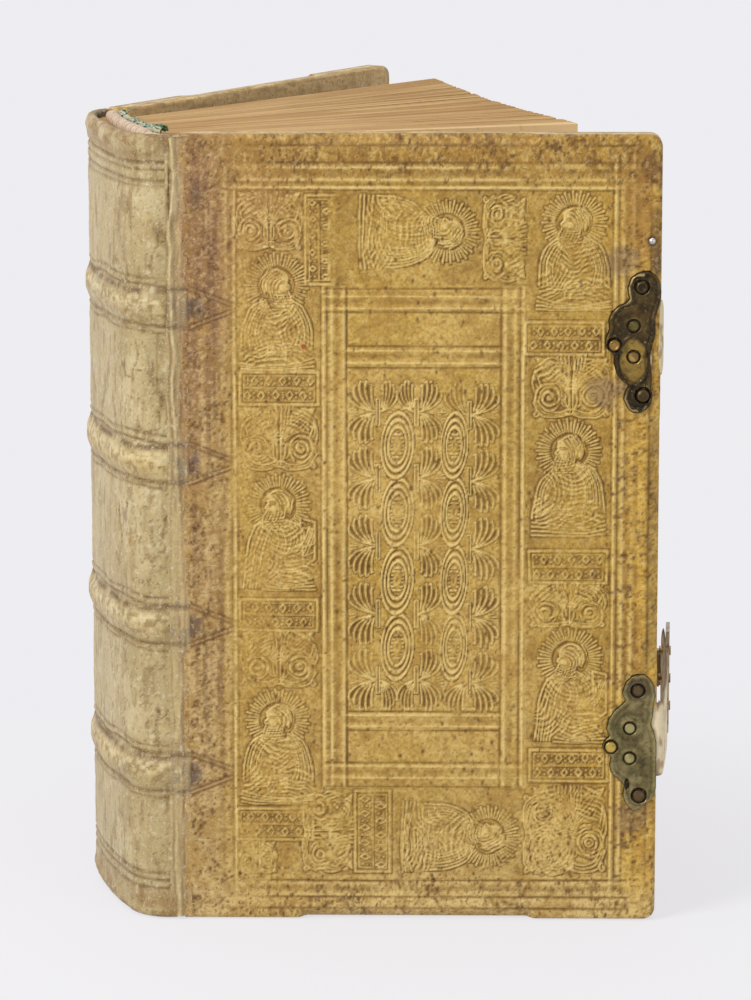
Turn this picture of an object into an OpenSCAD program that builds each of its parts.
// Octavo in blind-tooled pigskin over wooden boards, standing fanned open on its tail edge.
// Millimetres, +Z towards the head. The origin is the middle of the front board's tail edge, X runs
// along the front board to its fore-edge, and Y runs from its outer face towards the rear board.

/* [Boards] */
// Height of the boards from tail to head
board_h = 165; // [120:1:220]
// Width of the boards from joint to fore-edge
board_w = 98; // [80:1:140]
// Thickness of the bare wood
wood_t = 4; // [3:0.5:7]
// Radius of the two fore-edge corners
corner_r = 2.5; // [1.5:0.5:6]
// Depth of the stopped bevels, measured into the board
bevel_d = 2.6; // [1:0.2:3.6]
// Width of the stopped bevels on the outer face
bevel_w = 2.4; // [1:0.2:4]

/* [Leather] */
// Thickness of the covering leather
skin_t = 0.8; // [0.5:0.1:1.2]
// Width of the leather turned in over the inner face
turn_in = 14; // [8:1:20]
// Thickness of the pastedown paper
paper_t = 0.3; // [0.2:0.1:0.5]
// How far the pastedown laps over the turned-in leather
paper_lap = 6; // [2:1:7]

/* [Spine] */
// Gap between a board's edge and the rounded end of the spine leather
joint_gap = 0.3; // [0.3:0.1:0.5]
// Flat run of the spine leather beside each joint
joint_run = 2.9; // [1.5:0.1:4]
// Radius of the two shoulders of the spine
shoulder_r = 9; // [7:0.5:12]
// Length of the gently rounded back between the shoulders
back_len = 33; // [20:1:45]
// Turn of the front shoulder in degrees
front_turn = 65; // [55:1:70]
// Turn of the rounded back in degrees
back_turn = 16; // [10:1:22]
// Turn of the rear shoulder in degrees
rear_turn = 43; // [38:1:50]
// Thickness of the parchment linings behind the leather
lining_t = 0.5; // [0.3:0.1:0.8]

/* [Raised bands] */
// Number of raised bands
band_n = 4; // [3:1:5]
// Height of the middle of the lowest band above the tail
band_low = 31.3; // [24:0.1:40]
// Distance of the middle of the highest band from the head
band_high = 35.7; // [28:0.1:45]
// How far each hand-set band lies off its even place
band_drift = [0, -1.1, 0.3, 0, 0];
// Height that the bands stand proud
band_rise = 1.35; // [0.8:0.05:1.6]
// Width of the top of a band
band_top = 5.2; // [4:0.2:7]
// Width of the sloping side of a band
band_side = 1.3; // [0.8:0.1:2]
// Radius of each of the two cords in a band
cord_r = 1.15; // [0.6:0.05:1.2]
// Length of the pointed leather ridge that runs from a band onto the board
ridge_len = 9; // [4:0.5:14]
// Height of that ridge
ridge_rise = 0.5; // [0.2:0.1:0.6]

/* [Pages] */
// Height of the boards beyond the pages at head and tail
square_h = 1.8; // [1.4:0.1:4]
// Length of the first leaf from the shoulder
first_leaf = 88; // [70:1:120]
// Length of the last leaf from the shoulder
last_leaf = 98; // [70:1:125]
// Heading of the first leaf in degrees from the front board
first_heading = 18; // [16:1:22]
// Heading of the last leaf in degrees from the front board
last_heading = 48.5; // [42:0.5:50]
// Hollow of the fore-edge at its middle
hollow = 6; // [0:0.5:10]
// Relative thickness of each cluster of gatherings, from the front board to the rear one
clusters = [10, 7, 8, 6, 15, 7, 7, 11, 17];
// Depth of the split between two clusters at the fore-edge
split_d = 14; // [4:1:30]
// Width of a split at its mouth
split_w = 0.5; // [0.2:0.1:1]

/* [Clasps] */
// Height of the middle of the lower clasp
clasp_low = 38.2; // [30:0.1:60]
// Distance of the middle of the upper clasp from the head
clasp_high = 42.3; // [30:0.1:60]
// Thickness of the brass plates
plate_t = 0.9; // [0.6:0.1:1.4]
// Radius of the two swells that make the body of a strap plate
plate_r = 4.8; // [4.6:0.1:5.4]
// Distance of the two swells from the plate's middle
swell_off = 4.2; // [3.6:0.1:4.4]
// Distance of the two end lobes from the plate's middle
lobe_off = 11.2; // [10.8:0.1:11.8]
// Radius of the scallop at the upper plate's outer edge
upper_scallop = 5.2; // [4.4:0.1:6]
// Radius of the scallop at the lower plate's outer edge
lower_scallop = 4.4; // [4.3:0.1:5.5]
// Distance of the small nail above the upper clasp from the head
edge_nail_down = 21.7; // [12:0.1:24]
// Radius of the end lobes
lobe_r = 3.3; // [3.2:0.1:4]
// Radius of the small ear between the swells
ear_r = 2; // [1.8:0.1:2.4]
// Radius of the nail shanks
shank_r = 0.5; // [0.3:0.05:0.6]
// Length of the nail shanks below the plate
shank_len = 3.2; // [2:0.1:3.6]
// Clearance round the shanks
shank_gap = 0.05; // [0.03:0.01:0.1]
// Thickness of the strap leather
strap_t = 1.1; // [0.8:0.1:1.4]
// Width of the strap where it leaves the plate
strap_w = 16; // [10:1:20]
// Length of the strap that hangs free
strap_len = 30; // [20:1:40]
// Heading of the hanging strap in degrees from the front board
strap_heading = 86.5; // [60:0.5:88]
// Thickness of the hook plate
hook_t = 0.8; // [0.5:0.1:1.2]
// Length of the hook's tongue
tongue_len = 6; // [4:0.5:8]
// Width of the hook's tongue
tongue_w = 8; // [5:0.5:12]
// Depth of the hook, measured from the strap's middle
hook_deep = 2.2; // [1.8:0.1:3]

/* [Hidden] */
$fn = 64;

eps = 0.01;
over = 1;
arc_steps = 10;
// Lap of neighbouring sweeps, as degrees times radius
arc_lap = 1;
glue_gap = 0.05;
cord_lap = 3;
cord_end_lap = -12;
run_lap = 0.02;

board_t = wood_t + 2 * skin_t;
// Middle of the flat that the front board stands on, behind its bevel
foot_center = [board_w / 2, (bevel_d + board_t) / 2, 0];

// Stretches of the edges that are bevelled, which stop short of corners and clasps
bevel_run = 2;
edge_bevel_from = 23.5;
edge_bevel_to = 25;
clasp_clear = 15;
clasp_top = board_h - clasp_high;

// The spine is three tangent arcs between two flat runs
arc_turn = [front_turn, back_turn, rear_turn];
arc_r = [shoulder_r, back_len * 180 / (PI * back_turn), shoulder_r];
joint_axis = joint_gap + skin_t / 2;
joint_bead_z = 0.8;
start_x = -(joint_axis + joint_run);
rear_heading = 180 - front_turn - back_turn - rear_turn;

band_pitch = (board_h - band_low - band_high) / (band_n - 1);
band_half = band_top / 2 + band_side;
function band_z(i) = band_low + band_pitch * i + band_drift[i];

// The shoulder of the gatherings stands behind the board's inner edge
shoulder_in = 1.2;
shoulder_deep = 0.8;
shoulder = [-(joint_axis + shoulder_in), board_t + shoulder_deep];

endband_r = (square_h - 0.1) / 2;
silk_r = 0.45;

// Distances in from the fore-edge of the plates' parts and of the nails
plate_x = board_w - 5.6;
lobe_x = board_w - 4;
ear_x = board_w - 9.5;
ear_drop = 0.8;
rivet_off = 3.2;
low_nail_shift = 0.4;
hinge_x = 0.9;
seat_x = board_w - 7;
seat_off = 0.6;
scallop_x = board_w + 4.2;
scallop_off = 5;
stub_out = 0.7;
stub_deep = 3.2;
strap_z = clasp_low + seat_off;

brass = [0.5, 0.46, 0.3];
skin_colour = [0.8, 0.68, 0.42];
spine_colour = [0.83, 0.77, 0.6];
wood_colour = [0.5, 0.36, 0.22];
paper_colour = [0.82, 0.7, 0.5];
strap_colour = [0.86, 0.8, 0.66];

function along(h) = [cos(h), sin(h)];
function right_of(h) = [sin(h), -cos(h)];
function heading_at(k) = k == 0 ? 180 : heading_at(k - 1) - arc_turn[k - 1];
function arc_center(k) = k == 0
    ? [start_x, 0] + shoulder_r * right_of(180)
    : arc_center(k - 1) + (arc_r[k] - arc_r[k - 1]) * right_of(heading_at(k));
function spine_point(k, h, out) = arc_center(k) - (arc_r[k] + out) * right_of(h);
function rear_start() = spine_point(2, rear_heading, 0) - start_x * along(rear_heading);
// A point of the rear board's own frame, where Y runs from its outer face inwards
function rear_point(p) = rear_start() + p[0] * along(rear_heading) + p[1] * right_of(rear_heading);
function mix(a, b, t) = a + (b - a) * t;

// Placing

module placed() {
    translate(-foot_center) children();
}

module rear_placed() {
    translate(-foot_center)
        translate(concat(rear_start(), [0]))
            rotate([0, 0, rear_heading])
                mirror([0, 1, 0])
                    children();
}

// Extrudes an outline drawn in X and Z from y0 inwards by h
module slab(y0, h) {
    translate([0, y0 + h, 0]) rotate([90, 0, 0]) linear_extrude(h) children();
}

// Boards

module board_outline(inset) {
    r = corner_r - inset;
    w = board_w - inset;
    top = board_h - inset;
    translate([0, inset]) square([w - r, top - inset]);
    translate([0, inset + r]) square([w, top - inset - 2 * r]);
    for (z = [inset + r, top - r]) translate([w - r, z]) circle(r);
}

// Cuts one bevel along X with its board corner at the origin, set inwards by inset
module bevel_cut(from, to, inset) {
    slope = norm([bevel_d, bevel_w]);
    intersection() {
        translate([from - over, inset * bevel_w / slope, inset * bevel_d / slope])
            rotate([90, 0, 90])
                linear_extrude(to - from + 2 * over)
                    polygon([
                        [-over, -over],
                        [bevel_d * (1 + over / bevel_w), -over],
                        [-over, bevel_w * (1 + over / bevel_d)]
                    ]);
        slab(-2 * over, board_t)
            polygon([
                [from - inset, -2 * over], [to + inset, -2 * over],
                [to + inset - bevel_run, bevel_w + 2 * over], [from - inset + bevel_run, bevel_w + 2 * over]
            ]);
    }
}

module bevels(inset) {
    bevel_cut(edge_bevel_from, board_w - edge_bevel_to, inset);
    translate([0, 0, board_h]) mirror([0, 0, 1])
        bevel_cut(edge_bevel_from, board_w - edge_bevel_to, inset);
    translate([board_w, 0, 0]) rotate([0, -90, 0])
        bevel_cut(clasp_low + clasp_clear, clasp_top - clasp_clear, inset);
}

module board_body(inset) {
    difference() {
        slab(inset, board_t - 2 * inset) board_outline(inset);
        bevels(inset);
    }
}

// Seat of a strap that is sunk into the outer face at the fore-edge
module strap_seat(z) {
    translate([seat_x, -over, z + seat_off - strap_w / 2])
        cube([board_w, over + strap_t, strap_w]);
}

module wood() {
    board_body(skin_t);
}

// The covering leather of one board: outer face, three edges and the turned-in strips
module cover_leather() {
    difference() {
        union() {
            board_body(0);
            for (i = [0:band_n - 1]) ridge(band_z(i));
        }
        board_body(skin_t);
        translate([-over, board_t - skin_t - over, turn_in])
            cube([board_w - turn_in + over, skin_t + 2 * over, board_h - 2 * turn_in]);
        fillets();
    }
}

// The pointed end of a raised band on the board
module ridge(z) {
    slab(-ridge_rise, ridge_rise + skin_t / 2)
        polygon([[1, z - band_half], [1, z + band_half], [ridge_len, z]]);
}

module pastedown() {
    inner = turn_in - paper_lap;
    translate([0, board_t - skin_t, turn_in])
        cube([board_w - turn_in, skin_t + eps, board_h - 2 * turn_in]);
    translate([0, board_t, inner])
        cube([board_w - inner, paper_t, board_h - 2 * inner]);
}

// Blind tooling

// Margins of the tooled frame on the four sides of the board
tool_joint = 10.9;
tool_fore = 9.4;
tool_head = 11;
tool_tail = 8.8;
// Widths of the figured roll along the sides and at the ends
roll_side = 17.4;
roll_end = 19.6;
// Width of a triple fillet, and of the blank panels at its ends
fillet_w = 5.4;
panel_h = 6.4;
line_w = 0.5;
line_d = 0.3;

function frame_at(side, end) = [
    tool_joint + side, tool_tail + end, board_w - tool_fore - side, board_h - tool_head - end
];

module line_frame(f, w) {
    difference() {
        translate([f[0], f[1]]) square([f[2] - f[0], f[3] - f[1]]);
        translate([f[0] + w, f[1] + w]) square([f[2] - f[0] - 2 * w, f[3] - f[1] - 2 * w]);
    }
}

module fillets() {
    slab(-over, over + line_d) {
        for (s = [-4.4, -2.4, -0.6]) line_frame(frame_at(s, s), line_w);
        for (s = [0, 1.9, 3.2, 4.9])
            line_frame(frame_at(roll_side + s, roll_end + s), line_w);
        inner = frame_at(roll_side + fillet_w, roll_end + fillet_w);
        for (s = [0, 1.9, 3.2, 4.5]) {
            for (z = [inner[1] + panel_h + s, inner[3] - panel_h - s - line_w])
                translate([inner[0], z]) square([inner[2] - inner[0], line_w]);
        }
    }
}

// Nodes of the two covers

module front_board() {
    color(wood_colour) placed() difference() {
        wood();
        strap_seat(clasp_low);
        strap_seat(clasp_top);
        nail_holes(nails(clasp_low));
        nail_holes(nails(clasp_top));
        nail_holes([edge_nail_at]);
    }
}

module front_leather() {
    color(skin_colour) placed() difference() {
        cover_leather();
        strap_seat(clasp_low);
        strap_seat(clasp_top);
        nail_holes(nails(clasp_low));
        nail_holes(nails(clasp_top));
        nail_holes([edge_nail_at]);
    }
}

module front_pastedown() {
    color(paper_colour) placed() pastedown();
}

module rear_board() {
    color(wood_colour) rear_placed() difference() {
        wood();
        nail_holes(catch_nail_places(clasp_low));
        nail_holes(catch_nail_places(clasp_top));
    }
}

module rear_leather() {
    color(skin_colour) rear_placed() difference() {
        cover_leather();
        nail_holes(catch_nail_places(clasp_low));
        nail_holes(catch_nail_places(clasp_top));
    }
}

module rear_pastedown() {
    color(paper_colour) rear_placed() pastedown();
}

// Spine

// Sweeps a profile along the three arcs of the spine, the profile's X being the distance out
// from the leather's outer face. The sweeps lap each other, and end_lap is the lap at the two ends.
module along_arcs(lap = arc_lap, end_lap = arc_lap) {
    for (k = [0:2]) {
        before = (k == 0 ? end_lap : lap) / arc_r[k];
        after = (k == 2 ? end_lap : lap) / arc_r[k];
        translate(concat(arc_center(k), [0]))
            rotate([0, 0, heading_at(k) - arc_turn[k] + 90 - after])
                rotate_extrude(angle = arc_turn[k] + before + after, $fn = k == 1 ? 360 : 120)
                    translate([arc_r[k], 0])
                        children();
    }
}

// Sweeps a profile along the flat runs beside the joints
module along_runs() {
    translate([start_x - run_lap, 0, 0]) rotate([90, 0, 90]) linear_extrude(joint_run + run_lap)
        mirror([1, 0]) children();
    translate(concat(rear_point([start_x - run_lap, 0]), [0]))
        rotate([0, 0, rear_heading]) rotate([90, 0, 90]) linear_extrude(joint_run + run_lap)
            children();
}

// Half of the leather's section, from the tail to the head; raise is 1 where the bands stand proud
module spine_profile(raise) {
    rim = 2 * skin_t;
    bulge = [for (i = [0:band_n - 1]) each [
        [0, band_z(i) - band_half], [band_rise * raise, band_z(i) - band_top / 2],
        [band_rise * raise, band_z(i) + band_top / 2], [0, band_z(i) + band_half]
    ]];
    inner = [for (i = [len(bulge) - 1:-1:0]) bulge[i] - [skin_t, 0]];
    polygon(concat(
        [[-rim, 0.6], [-rim + 0.3, 0.1], [-0.6, 0], [-0.1, 0.4], [0, 1.2]],
        bulge,
        [
            [0, board_h - 1.2], [-0.1, board_h - 0.4], [-0.6, board_h],
            [-rim + 0.3, board_h - 0.1], [-rim, board_h - 0.6],
            [-rim, board_h - square_h + 0.6], [-skin_t, board_h - square_h + 0.05]
        ],
        inner,
        [[-skin_t, square_h - 0.05], [-rim, square_h - 0.6]]
    ));
}

module spine_leather() {
    color(spine_colour) placed() {
        along_arcs() spine_profile(1);
        along_runs() spine_profile(0);
        for (p = [[-joint_axis, skin_t / 2], rear_point([-joint_axis, skin_t / 2])])
            translate(concat(p, [joint_bead_z])) cylinder(h = board_h - 2 * joint_bead_z, r = skin_t / 2);
    }
}

// Points along the three arcs at a distance out from the leather's outer face
function spine_line(out) = [
    for (k = [0:2]) for (s = [k == 0 ? 0 : 1:arc_steps])
        spine_point(k, heading_at(k) - arc_turn[k] * s / arc_steps, out)
];

// Parchment strips glued to the back between the bands
module spine_linings() {
    outer = spine_line(-(skin_t + glue_gap));
    inner = spine_line(-(skin_t + lining_t - glue_gap));
    color(paper_colour) placed() for (i = [0:band_n]) {
        low = i == 0 ? square_h + 1 : band_z(i - 1) + band_half + 0.5;
        high = i == band_n ? board_h - square_h - 1 : band_z(i) - band_half - 0.5;
        translate([0, 0, low]) linear_extrude(high - low)
            polygon(concat(outer, [for (j = [len(inner) - 1:-1:0]) inner[j]]));
    }
}

// Two cords side by side, flattened where they are sewn against the back of the gatherings
module band_cord(i) {
    color(strap_colour) placed() for (s = [-1, 1]) along_arcs(cord_lap, cord_end_lap)
        translate([-(skin_t + lining_t), band_z(i) + s * (cord_r + 0.05)])
            polygon([for (a = [-90:30:90]) cord_r * [cos(a), sin(a)]]);
}

module band_cord_1() { band_cord(0); }
module band_cord_2() { band_cord(1); }
module band_cord_3() { band_cord(2); }
module band_cord_4() { band_cord(3); }

// Core of an endband that lies on the edge of the gatherings behind the leather's rim
module endband(z) {
    placed() along_arcs()
        translate([-(2 * skin_t + 0.2 + endband_r), z]) circle(endband_r, $fn = 12);
}

module endband_silk(z) {
    placed() along_arcs()
        translate([-(2 * skin_t + 0.4 + 2 * endband_r + silk_r), z]) circle(silk_r, $fn = 12);
}

module head_endband() { color("mistyrose") endband(board_h - square_h + endband_r + 0.02); }
module tail_endband() { color("mistyrose") endband(square_h - endband_r - 0.02); }
module head_endband_silk() { color("seagreen") endband_silk(board_h - square_h + silk_r + 0.02); }
module tail_endband_silk() { color("seagreen") endband_silk(square_h - silk_r - 0.02); }

// Pages

cluster_sum = [for (i = 0, s = 0; i <= len(clusters); s = s + (i < len(clusters) ? clusters[i] : 0), i = i + 1) s];
cluster_all = cluster_sum[len(clusters)];
function leaf_start(t) = mix(shoulder, rear_point(shoulder), t);
function leaf_heading(t) = mix(first_heading, last_heading, t);
function leaf_len(t) = mix(first_leaf, last_leaf, t) - hollow * sin(180 * t);
function leaf_end(t, back) = leaf_start(t) + (leaf_len(t) - back) * along(leaf_heading(t));

function block_outline() = concat(
    [for (k = [0:2]) for (s = [0:arc_steps - 1])
        spine_point(k, heading_at(k) - arc_turn[k] * (s + (k == 0 ? 0.5 : 0)) / arc_steps, -(skin_t + lining_t))],
    [spine_point(2, rear_heading + 2, -(skin_t + lining_t)), rear_point(shoulder)],
    [for (i = [len(clusters):-1:0])
        let (t = cluster_sum[i] / cluster_all, half = split_w / 2 / (first_leaf + last_leaf))
            each (i == 0 ? [leaf_end(0, 0)] : i == len(clusters) ? [leaf_end(1, 0)]
                : [leaf_end(t + half, 0.6), leaf_end(t, split_d), leaf_end(t - half, 0)])],
    [shoulder]
);

module text_block() {
    color(paper_colour) placed() difference() {
        translate([0, 0, square_h])
            linear_extrude(board_h - 2 * square_h) polygon(block_outline());
        for (i = [1:len(clusters) - 1]) for (z = [square_h, board_h - square_h])
            leaf_groove(cluster_sum[i] / cluster_all, z);
    }
}

// Shallow line across the head or tail edge between two clusters
module leaf_groove(t, z) {
    translate([leaf_start(t)[0], leaf_start(t)[1], z]) rotate([0, 0, leaf_heading(t)])
        translate([6, -0.15, -0.3]) cube([leaf_len(t), 0.3, 0.6]);
}

// Clasps

// Each place is x, z and the radius of the head
function nails(z) = [
    [lobe_x, z + lobe_off, 1.2], [lobe_x + low_nail_shift, z - lobe_off, 1.3],
    [plate_x, z + rivet_off, 1.1], [plate_x, z - rivet_off, 1.1], [ear_x, z - ear_drop, 1.2]
];
edge_nail_at = [board_w - 2, board_h - edge_nail_down, 0.7];

module nail_holes(places) {
    for (p = places)
        translate([p[0], -over, p[1]]) rotate([-90, 0, 0])
            cylinder(h = over + shank_len + 0.2, r = shank_r + shank_gap);
}

// Nails with low domed heads that rest on a face at the given height above the board
module nail_set(places, height) {
    for (p = places) translate([p[0], -height, p[1]]) {
        rotate([-90, 0, 0]) cylinder(h = height + shank_len, r = shank_r);
        intersection() {
            translate([0, p[2] * 0.6, 0]) sphere(p[2] * 1.2, $fn = 32);
            rotate([90, 0, 0]) cylinder(h = p[2], r = p[2]);
        }
    }
}

// Two round lobes, two swells with a small ear between them, and a straight side at the fore-edge
module strap_plate_outline(z, scallop) {
    difference() {
        union() {
            for (s = [-1, 1]) {
                translate([lobe_x, z + s * lobe_off]) circle(lobe_r);
                translate([plate_x, z + s * swell_off]) circle(plate_r);
            }
            translate([ear_x, z - ear_drop]) circle(ear_r);
            translate([plate_x, z - lobe_off]) square([board_w - plate_x, 2 * lobe_off]);
        }
        translate([board_w, z - board_w / 2]) square([board_w, board_w]);
        translate([scallop_x, z + scallop_off]) circle(scallop);
    }
}

module strap_plate(z, scallop) {
    color(brass) placed() difference() {
        slab(-plate_t, plate_t) strap_plate_outline(z, scallop);
        translate([0, -plate_t, 0]) nail_holes(nails(z));
    }
}

module upper_strap_plate() { strap_plate(clasp_top, upper_scallop); }
module lower_strap_plate() { strap_plate(clasp_low, lower_scallop); }

module upper_strap_nails() { color(brass) placed() nail_set(nails(clasp_top), plate_t); }
module lower_strap_nails() { color(brass) placed() nail_set(nails(clasp_low), plate_t); }
module edge_nail() { color("silver") placed() nail_set([edge_nail_at], 0); }

// The end of a strap that its plate holds in the seat
module strap_end(z) {
    difference() {
        translate([seat_x, 0, z + seat_off - strap_w / 2])
            cube([board_w - seat_x, strap_t, strap_w]);
        nail_holes(nails(z));
    }
}

// What is left of the upper strap: its held end and a torn flap that hangs over the fore-edge
module upper_strap_stub() {
    color(strap_colour) placed() {
        strap_end(clasp_top);
        translate([board_w, 0, clasp_top + seat_off - strap_w / 2]) cube([stub_out, stub_deep, strap_w - 1]);
    }
}

module lower_strap_anchor() {
    color(strap_colour) placed() strap_end(clasp_low);
}

// Frame of the hanging strap: X runs along it, Z is up, and its axis is at the fore-edge
module strap_placed() {
    placed() translate([board_w + hinge_x, strap_t / 2, strap_z]) rotate([0, 0, strap_heading])
        children();
}

strap_rise = 6.5;
strap_tip_w = 20;
hook_back = 8;
hook_side = 1;
hook_rivet_off = 6;
rivet_head = 0.3;
rivet_head_r = 1;

module strap_outline() {
    polygon([
        [0, -strap_w / 2], [0, strap_w / 2],
        [strap_len, strap_rise + strap_tip_w / 2], [strap_len, strap_rise - strap_tip_w / 2]
    ]);
}

// The strap turns about its own rounded fold
module lower_strap() {
    color(strap_colour) strap_placed() difference() {
        union() {
            slab(-strap_t / 2, strap_t) strap_outline();
            translate([0, 0, -strap_w / 2]) cylinder(h = strap_w, r = strap_t / 2);
        }
        hook_rivet_holes();
    }
}

function hook_rivets() = [for (s = [-1, 0, 1]) [strap_len - hook_back / 2, strap_rise + s * hook_rivet_off]];

module hook_rivet_holes() {
    for (p = hook_rivets()) translate([p[0], -over - strap_t, p[1]]) rotate([-90, 0, 0])
        cylinder(h = 2 * over + 3 * strap_t, r = shank_r + shank_gap);
}

// A brass plate on the strap's outer side whose tongue turns over into a hook
module lower_hook() {
    color("silver") strap_placed() difference() {
        union() {
            slab(-strap_t / 2 - hook_t, hook_t) {
                translate([strap_len - hook_back, strap_rise - strap_tip_w / 2 - hook_side])
                    square([hook_back + hook_side, strap_tip_w + 2 * hook_side]);
                translate([strap_len, strap_rise - tongue_w / 2]) square([tongue_len, tongue_w]);
            }
            translate([strap_len + tongue_len - hook_t, -strap_t / 2 - eps, strap_rise - tongue_w / 2])
                cube([hook_t, hook_deep, tongue_w]);
            translate([strap_len + tongue_len - 2, hook_deep - strap_t / 2 - hook_t, strap_rise - tongue_w / 2])
                cube([2, hook_t, tongue_w]);
        }
        hook_rivet_holes();
    }
}

module lower_hook_rivets() {
    color(brass) strap_placed() for (p = hook_rivets())
        translate([p[0], -strap_t / 2 - hook_t - rivet_head, p[1]]) rotate([-90, 0, 0]) {
            cylinder(h = strap_t + hook_t + 2 * rivet_head, r = shank_r);
            cylinder(h = rivet_head, r = rivet_head_r);
            translate([0, 0, strap_t + hook_t + rivet_head]) cylinder(h = rivet_head, r = rivet_head_r);
        }
}

// Catches on the rear board that the hooks would close on

// Distances in from the fore-edge, then widths and heights of the catch plate, its slot and its bar
catch_in = 8;
catch_w = 7.2;
catch_h = 15.2;
catch_lobe_in = 9;
catch_lobe_off = 4;
catch_lobe_r = 2;
slot_in = 3.4;
slot_w = 1.8;
slot_h = 7;
bar_in = 5;
bar_w = 1.2;
bar_h = 8;
bar_rise = 1.6;
catch_nail_r = 0.9;

function catch_nail_places(z) = [
    for (s = [-1, 1]) each [
        [board_w - catch_lobe_in, z + s * catch_lobe_off, catch_nail_r],
        [board_w - catch_in + 0.78 * catch_w, z + s * (catch_h / 2 - 1.6), catch_nail_r]
    ]
];

module catch_plate(z) {
    color(brass) rear_placed() difference() {
        union() {
            slab(-plate_t, plate_t) {
                translate([board_w - catch_in, z - catch_h / 2]) square([catch_w, catch_h]);
                for (s = [-1, 1])
                    translate([board_w - catch_lobe_in, z + s * catch_lobe_off]) circle(catch_lobe_r);
            }
            slab(-plate_t - bar_rise, bar_rise + eps)
                translate([board_w - bar_in, z - bar_h / 2]) square([bar_w, bar_h]);
        }
        translate([0, -plate_t, 0]) nail_holes(catch_nail_places(z));
        translate([board_w - slot_in, -plate_t - over, z - slot_h / 2]) cube([slot_w, plate_t + over, slot_h]);
    }
}

module upper_catch() { catch_plate(clasp_top); }
module lower_catch() { catch_plate(clasp_low); }
module upper_catch_nails() { color(brass) rear_placed() nail_set(catch_nail_places(clasp_top), plate_t); }
module lower_catch_nails() { color(brass) rear_placed() nail_set(catch_nail_places(clasp_low), plate_t); }

front_board();
front_leather();
front_pastedown();
rear_board();
rear_leather();
rear_pastedown();
text_block();
spine_leather();
spine_linings();
band_cord_1();
band_cord_2();
band_cord_3();
band_cord_4();
head_endband();
head_endband_silk();
tail_endband();
tail_endband_silk();
upper_strap_plate();
upper_strap_nails();
upper_strap_stub();
lower_strap_plate();
lower_strap_nails();
lower_strap_anchor();
lower_strap();
lower_hook();
lower_hook_rivets();
edge_nail();
upper_catch();
upper_catch_nails();
lower_catch();
lower_catch_nails();
